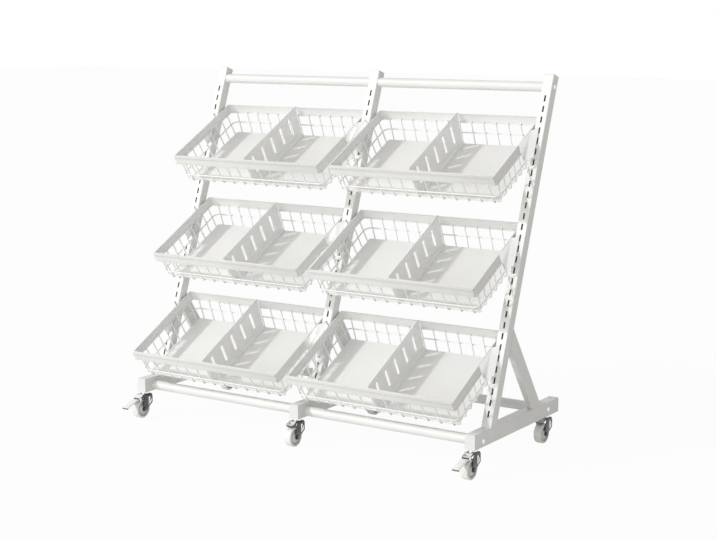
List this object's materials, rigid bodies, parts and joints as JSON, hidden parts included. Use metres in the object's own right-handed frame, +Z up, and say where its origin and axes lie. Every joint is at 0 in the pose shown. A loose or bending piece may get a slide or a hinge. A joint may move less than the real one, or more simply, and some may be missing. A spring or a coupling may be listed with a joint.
{
  "type": "produce display stand",
  "caption": "Free-standing wheeled display stand: slotted leaning uprights carry tiers of forward-tilted wire baskets with sliding dividers for fruit and vegetables.",
  "frame": {"origin": "on the floor, at the middle of the bounding box", "axes": "+X to the right along the bays, +Y to the back, +Z up; baskets face -Y"},
  "size_m": [1.344, 0.645, 1.1922],
  "materials": {
    "powder_coat": "white satin powder coat",
    "floor_sheet": "white satin",
    "zinc": "bright zinc plate",
    "nylon": "off-white nylon",
    "cap_plastic": "light grey moulded",
    "pedal_plastic": "light grey moulded",
    "strip_plastic": "smooth extruded"
  },
  "bodies": {
    "frame": {"leg_left": "powder_coat", "leg_centre": "powder_coat", "leg_right": "powder_coat", "upright_left": "powder_coat", "upright_centre": "powder_coat", "upright_right": "powder_coat", "brace_left": "powder_coat", "brace_centre": "powder_coat", "brace_right": "powder_coat", "front_crossbars": "powder_coat", "rear_crossbars": "powder_coat", "top_rails": "powder_coat", "tube_caps": "cap_plastic", "frame_bolts": "zinc", "caster_stems": "zinc"},
    "caster_front_left": {"caster_fork_front_left": "zinc"},
    "wheel_front_left": {"caster_wheel_front_left": "nylon"},
    "pedal_front_left": {"brake_pedal_front_left": "pedal_plastic"},
    "caster_front_centre": {"caster_fork_front_centre": "zinc"},
    "wheel_front_centre": {"caster_wheel_front_centre": "nylon"},
    "caster_front_right": {"caster_fork_front_right": "zinc"},
    "wheel_front_right": {"caster_wheel_front_right": "nylon"},
    "pedal_front_right": {"brake_pedal_front_right": "pedal_plastic"},
    "caster_rear_left": {"caster_fork_rear_left": "zinc"},
    "wheel_rear_left": {"caster_wheel_rear_left": "nylon"},
    "caster_rear_centre": {"caster_fork_rear_centre": "zinc"},
    "wheel_rear_centre": {"caster_wheel_rear_centre": "nylon"},
    "caster_rear_right": {"caster_fork_rear_right": "zinc"},
    "wheel_rear_right": {"caster_wheel_rear_right": "nylon"},
    "basket_top_left": {"basket_rim_top_left": "powder_coat", "basket_wires_top_left": "powder_coat", "basket_floor_sheet_top_left": "floor_sheet", "basket_price_strip_top_left": "strip_plastic"},
    "divider_top_left": {"basket_divider_top_left": "powder_coat"},
    "basket_middle_left": {"basket_rim_middle_left": "powder_coat", "basket_wires_middle_left": "powder_coat", "basket_floor_sheet_middle_left": "floor_sheet", "basket_price_strip_middle_left": "strip_plastic"},
    "divider_middle_left": {"basket_divider_middle_left": "powder_coat"},
    "basket_bottom_left": {"basket_rim_bottom_left": "powder_coat", "basket_wires_bottom_left": "powder_coat", "basket_floor_sheet_bottom_left": "floor_sheet", "basket_price_strip_bottom_left": "strip_plastic"},
    "divider_bottom_left": {"basket_divider_bottom_left": "powder_coat"},
    "basket_top_right": {"basket_rim_top_right": "powder_coat", "basket_wires_top_right": "powder_coat", "basket_floor_sheet_top_right": "floor_sheet", "basket_price_strip_top_right": "strip_plastic"},
    "divider_top_right": {"basket_divider_top_right": "powder_coat"},
    "basket_middle_right": {"basket_rim_middle_right": "powder_coat", "basket_wires_middle_right": "powder_coat", "basket_floor_sheet_middle_right": "floor_sheet", "basket_price_strip_middle_right": "strip_plastic"},
    "divider_middle_right": {"basket_divider_middle_right": "powder_coat"},
    "basket_bottom_right": {"basket_rim_bottom_right": "powder_coat", "basket_wires_bottom_right": "powder_coat", "basket_floor_sheet_bottom_right": "floor_sheet", "basket_price_strip_bottom_right": "strip_plastic"},
    "divider_bottom_right": {"basket_divider_bottom_right": "powder_coat"}
  },
  "joints": [
    {"name": "swivel_front_left", "type": "hinge", "parent": "frame", "child": "caster_front_left", "pos_m": [-0.65, -0.2185, 0.0825], "axis": [0, 0, 1], "continuous": true},
    {"name": "roll_front_left", "type": "hinge", "parent": "caster_front_left", "child": "wheel_front_left", "pos_m": [-0.65, -0.2425, 0.0325], "axis": [1, 0, 0], "continuous": true},
    {"name": "brake_front_left", "type": "hinge", "parent": "caster_front_left", "child": "pedal_front_left", "pos_m": [-0.65, -0.2585, 0.0675], "axis": [1, 0, 0], "range_deg": [0, 12]},
    {"name": "swivel_front_centre", "type": "hinge", "parent": "frame", "child": "caster_front_centre", "pos_m": [0, -0.2185, 0.0825], "axis": [0, 0, 1], "continuous": true},
    {"name": "roll_front_centre", "type": "hinge", "parent": "caster_front_centre", "child": "wheel_front_centre", "pos_m": [0, -0.2425, 0.0325], "axis": [1, 0, 0], "continuous": true},
    {"name": "swivel_front_right", "type": "hinge", "parent": "frame", "child": "caster_front_right", "pos_m": [0.65, -0.2185, 0.0825], "axis": [0, 0, 1], "continuous": true},
    {"name": "roll_front_right", "type": "hinge", "parent": "caster_front_right", "child": "wheel_front_right", "pos_m": [0.65, -0.2425, 0.0325], "axis": [1, 0, 0], "continuous": true},
    {"name": "brake_front_right", "type": "hinge", "parent": "caster_front_right", "child": "pedal_front_right", "pos_m": [0.65, -0.2585, 0.0675], "axis": [1, 0, 0], "range_deg": [0, 12]},
    {"name": "swivel_rear_left", "type": "hinge", "parent": "frame", "child": "caster_rear_left", "pos_m": [-0.65, 0.2615, 0.0825], "axis": [0, 0, 1], "continuous": true},
    {"name": "roll_rear_left", "type": "hinge", "parent": "caster_rear_left", "child": "wheel_rear_left", "pos_m": [-0.65, 0.2375, 0.0325], "axis": [1, 0, 0], "continuous": true},
    {"name": "swivel_rear_centre", "type": "hinge", "parent": "frame", "child": "caster_rear_centre", "pos_m": [0, 0.2615, 0.0825], "axis": [0, 0, 1], "continuous": true},
    {"name": "roll_rear_centre", "type": "hinge", "parent": "caster_rear_centre", "child": "wheel_rear_centre", "pos_m": [0, 0.2375, 0.0325], "axis": [1, 0, 0], "continuous": true},
    {"name": "swivel_rear_right", "type": "hinge", "parent": "frame", "child": "caster_rear_right", "pos_m": [0.65, 0.2615, 0.0825], "axis": [0, 0, 1], "continuous": true},
    {"name": "roll_rear_right", "type": "hinge", "parent": "caster_rear_right", "child": "wheel_rear_right", "pos_m": [0.65, 0.2375, 0.0325], "axis": [1, 0, 0], "continuous": true},
    {"name": "lift_top_left", "type": "slide", "parent": "frame", "child": "basket_top_left", "axis": [0, 0.3387, 0.9409], "range_m": [0, 0.009]},
    {"name": "divider_slide_top_left", "type": "slide", "parent": "basket_top_left", "child": "divider_top_left", "axis": [1, 0, 0], "range_m": [-0.24, 0.24]},
    {"name": "lift_middle_left", "type": "slide", "parent": "frame", "child": "basket_middle_left", "axis": [0, 0.3387, 0.9409], "range_m": [0, 0.009]},
    {"name": "divider_slide_middle_left", "type": "slide", "parent": "basket_middle_left", "child": "divider_middle_left", "axis": [1, 0, 0], "range_m": [-0.24, 0.24]},
    {"name": "lift_bottom_left", "type": "slide", "parent": "frame", "child": "basket_bottom_left", "axis": [0, 0.3387, 0.9409], "range_m": [0, 0.009]},
    {"name": "divider_slide_bottom_left", "type": "slide", "parent": "basket_bottom_left", "child": "divider_bottom_left", "axis": [1, 0, 0], "range_m": [-0.24, 0.24]},
    {"name": "lift_top_right", "type": "slide", "parent": "frame", "child": "basket_top_right", "axis": [0, 0.3387, 0.9409], "range_m": [0, 0.009]},
    {"name": "divider_slide_top_right", "type": "slide", "parent": "basket_top_right", "child": "divider_top_right", "axis": [1, 0, 0], "range_m": [-0.24, 0.24]},
    {"name": "lift_middle_right", "type": "slide", "parent": "frame", "child": "basket_middle_right", "axis": [0, 0.3387, 0.9409], "range_m": [0, 0.009]},
    {"name": "divider_slide_middle_right", "type": "slide", "parent": "basket_middle_right", "child": "divider_middle_right", "axis": [1, 0, 0], "range_m": [-0.24, 0.24]},
    {"name": "lift_bottom_right", "type": "slide", "parent": "frame", "child": "basket_bottom_right", "axis": [0, 0.3387, 0.9409], "range_m": [0, 0.009]},
    {"name": "divider_slide_bottom_right", "type": "slide", "parent": "basket_bottom_right", "child": "divider_bottom_right", "axis": [1, 0, 0], "range_m": [-0.24, 0.24]}
  ]
}
